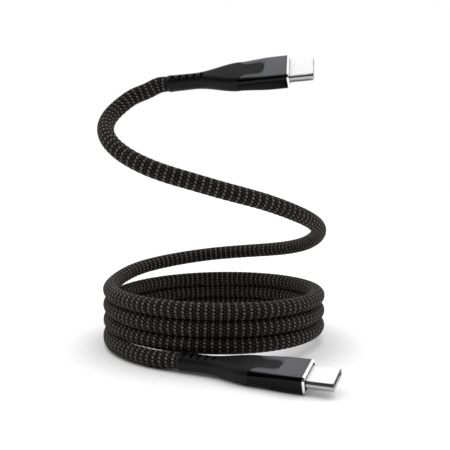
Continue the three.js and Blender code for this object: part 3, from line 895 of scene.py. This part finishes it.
def anodised_and_side_shade_finish():
    material, tree = new_finish("anodised_grey")
    broad = add_node(tree, "ShaderNodeAttribute", {"attribute_name": "broad"}, output=2)
    blast = object_noise(tree, 0.09, detail=3.0)
    cloud = object_noise(tree, 4.0, detail=2.0)
    satin = blend_colours(tree, cloud, tuple(0.95 * c for c in SATIN_GREY), SATIN_GREY)
    # Painted shade: the sides are coloured nearly black, the broad faces satin grey.
    colour = blend_colours(tree, broad, BODY_SIDE_PAINTED_SHADE, satin)
    sockets = {"Base Color": colour, "Metallic": 1.0, "Roughness": 0.14 + broad * 0.24}
    close_finish(tree, sockets, blast * broad, depth=0.004)
    return material


def shell_finish():
    """Bright nickel plating, satin on the flats and polished on the round sides, whose colour is painted
    darker as shade.
    """
    material, tree = new_finish("shell_plating_and_side_shade")
    broad = add_node(tree, "ShaderNodeAttribute", {"attribute_name": "broad"}, output=2)
    cloud = object_noise(tree, 2.5, detail=2.0)
    marks = object_noise(tree, 0.8, detail=2.0)
    # Painted shade: the round sides are coloured darker than the flats.
    colour = blend_colours(tree, broad, SHELL_SIDE_PAINTED_SHADE, PLATED_FLAT)
    roughness = 0.12 + broad * 0.2 + cloud * 0.05
    sockets = {"Base Color": colour, "Metallic": 1 - broad * 0.6, "Roughness": roughness}
    close_finish(tree, sockets, marks, depth=0.0006)
    return material


metal_body.data.materials.append(anodised_and_side_shade_finish())
metal_body.data.materials.append(metal_finish("bright_edge", (0.93, 0.90, 0.87), 0.10, 0.3, 0.001))
bright_edge_faces(metal_body)
plug_steel = metal_finish("plug_steel", (0.93, 0.935, 0.94), 0.10, 0.5, 0.0015)
plug_shell.data.materials.append(shell_finish())
print("The metal body has", len(metal_body.data.materials), "finishes")

# %% [markdown]
# Plastics and ceramics, again from one function: a colour with faint clouds, and a fine grain.


# %% Plastic finishes
def plastic_finish(name, tint, roughness):
    material, tree = new_finish(name)
    grain = object_noise(tree, 0.2, detail=3.0)
    cloud = object_noise(tree, 1.8, detail=2.0)
    colour = blend_colours(tree, cloud, tuple(0.85 * c for c in tint), tint)
    close_finish(tree, {"Base Color": colour, "Roughness": roughness + cloud * 0.08}, grain, depth=0.006)
    return material


def board_finish():
    """A green circuit board: copper areas show through the lacquer as a lighter green."""
    material, tree = new_finish("circuit_board")
    cells = {"Vector": add_node(tree, "ShaderNodeTexCoord", output=3), "Scale": 1 / (1.1 * MM)}
    copper = add_node(tree, "ShaderNodeTexVoronoi", {"feature": "DISTANCE_TO_EDGE"}, cells)
    areas = copper.rise(0.05, 0.09)
    colour = blend_colours(tree, areas, (0.004, 0.050, 0.016), (0.012, 0.125, 0.038))
    close_finish(tree, {"Base Color": colour, "Roughness": 0.35, "Coat Weight": 0.3}, areas, depth=0.02)
    return material


black_plastic = plastic_finish("black_plastic", (0.007, 0.007, 0.0075), 0.38)
front_plate.data.materials.append(black_plastic)
print("The front plate is", front_plate.data.materials[0].name)

# %% [markdown]
# Both plugs are the same, so each piece that was modelled above is copied into the two places. The pieces
# that lie inside keep their packed shape and only get their finish.


# %% Set the plugs down
def set_down(pattern, end, name, replaced):
    """A copy of a plug's piece with its own mesh, placed in that plug."""
    piece = bpy.data.objects.new(f"{end}_{name}", pattern.data.copy())
    piece.data.name = piece.name
    bpy.context.scene.collection.objects.link(piece)
    piece.data.transform(PLUG_FRAMES[end])
    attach(piece, "cable")
    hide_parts(f"{end}_{replaced}")
    return piece


for end in PLUG_FRAMES:
    set_down(strain_relief, end, "strain_relief", "boot")
    set_down(metal_body, end, "metal_body", "housing")
    set_down(plug_shell, end, "plug_shell", "shell")
    set_down(front_plate, end, "front_plate", "nose_plate")
for pattern in (strain_relief, metal_body, plug_shell, front_plate):
    bpy.data.objects.remove(pattern)
print("Each plug has four new pieces")

# %% [markdown]
# The inner pieces take their finish by name, since both plugs hold the same ones. They are out of sight
# behind the shell's mouth, but they show when the part is taken to pieces.

# %% Inner pieces
INNER_FINISHES = {
    "contact_carrier": black_plastic,
    "contacts_": metal_finish("gold_contacts", (0.86, 0.60, 0.24), 0.16, 0.2, 0.002),
    "ground_spring_": metal_finish("spring_steel", (0.62, 0.62, 0.60), 0.24, 0.2, 0.003),
    "paddle_card": board_finish(),
    "capacitor": plastic_finish("ceramic_block", (0.30, 0.22, 0.14), 0.45),
    "marker_chip": plastic_finish("chip_epoxy", (0.012, 0.012, 0.013), 0.5),
    "inner_mould": plastic_finish("clear_mould", (0.62, 0.60, 0.53), 0.5),
    "jacket_end": plastic_finish("inner_jacket", (0.024, 0.024, 0.026), 0.55),
    "power_wire": plastic_finish("red_insulation", (0.42, 0.022, 0.018), 0.4),
    "ground_wire": plastic_finish("black_insulation", (0.010, 0.010, 0.011), 0.4),
    "config_wire": plastic_finish("blue_insulation", (0.024, 0.10, 0.42), 0.4),
    "data_plus_wire": plastic_finish("green_insulation", (0.022, 0.24, 0.055), 0.4),
    "data_minus_wire": plastic_finish("white_insulation", (0.70, 0.70, 0.67), 0.4),
}
INNER_FINISHES["latch_"] = INNER_FINISHES["ground_spring_"]
INNER_FINISHES["shield_can"] = INNER_FINISHES["crimp_ferrule"] = plug_steel

finished = 0
for name, node in frame["nodes"].items():
    for part, finish in INNER_FINISHES.items():
        if name.split("_", 1)[1].startswith(part) and not node.hide_render:
            node.data.materials.clear()
            node.data.materials.append(finish)
            finished += 1
print(finished, "inner pieces have their finish")

# %% [markdown]
# The table. Everything stands on a plain white surface, a hair below the cord, so that the two never
# share a face. It is dull, because a gloss would mirror the coil.

# %% Table
TABLE_WIDTH, TABLE_DROP = 3.0, 0.02
TABLE_WHITE = (0.86, 0.86, 0.86, 1)

start_alone()
bpy.ops.mesh.primitive_plane_add(size=TABLE_WIDTH, location=(0, 0, -TABLE_DROP * MM))
table = bpy.context.object
table.name = "table"
table_material, table_tree = new_finish("white_table")
close_finish(table_tree, {"Base Color": TABLE_WHITE, "Roughness": 0.9, "Specular IOR Level": 0.0})
table.data.materials.append(table_material)
print("The table is", table.dimensions.x, "m wide")

# %% [markdown]
# The room. Dark rubber, and metal whose sides are painted nearly black as shade, would vanish against white
# light from all sides: they are drawn by what they reflect. So the room is bright behind, has one dim panel
# towards the front, and is dark on the viewer's side. Seen directly, past the table's end, it is plain white.

# %% Room
ROOM_BACK, ROOM_FRONT, ROOM_PANEL = 1.2, 0.012, 0.22
BACK_EDGE = (-0.28, -0.04)
PANEL_HEIGHT, PANEL_EDGE, PANEL_SIDE = 0.5, (0.04, 0.16), (0.35, 0.5)


def light_room():
    """A sky whose brightness depends on the direction alone, behind being +Y."""
    world = bpy.data.worlds.new("room")
    bpy.context.scene.world = world
    world.use_nodes = True
    tree = world.node_tree
    tree.nodes.clear()
    direction = add_node(tree, "ShaderNodeTexCoord", output=0)
    split = tree.nodes.new("ShaderNodeSeparateXYZ")
    tree.links.new(direction.socket, split.inputs[0])
    away, up = Signal(tree, split.outputs[1]), Signal(tree, split.outputs[2])
    back = away.rise(*BACK_EDGE)
    panel = (up - PANEL_HEIGHT).math("ABSOLUTE").fade(*PANEL_EDGE) * (0 - away).rise(*PANEL_SIDE)
    level = back * (ROOM_BACK - ROOM_FRONT) + panel * ROOM_PANEL + ROOM_FRONT
    seen = add_node(tree, "ShaderNodeLightPath", output=0)
    level = seen + (1 - seen) * level
    glow = add_node(tree, "ShaderNodeBackground", None, {"Color": (1, 1, 1, 1), "Strength": level})
    tree.links.new(glow.socket, tree.nodes.new("ShaderNodeOutputWorld").inputs["Surface"])


light_room()
bpy.context.scene.view_settings.view_transform = "Standard"
print("The room is", ROOM_BACK, "bright behind and", ROOM_FRONT, "on the viewer's side")

# %% [markdown]
# The lamp. The table is lit from straight above by a very wide, even source, so that it stays white as far
# as it goes and every contact has a soft shadow round it. It is left out of reflections, where it would
# whiten every face that looks up.

# %% Lamp
LAMP_SPREAD, LAMP_POWER = 95, 2.05

bpy.ops.object.light_add(type="SUN", location=coil_axis + Vector((0, 0, 0.5)))
lamp = bpy.context.object
lamp.name = "overhead_light"
lamp.data.angle = math.radians(LAMP_SPREAD)
lamp.data.energy = LAMP_POWER
lamp.visible_glossy = False
print("The overhead light gives", lamp.data.energy, "W per square metre")

# %% [markdown]
# Last, the script returns to object mode and leaves nothing selected.

# %% The last line
start_alone()
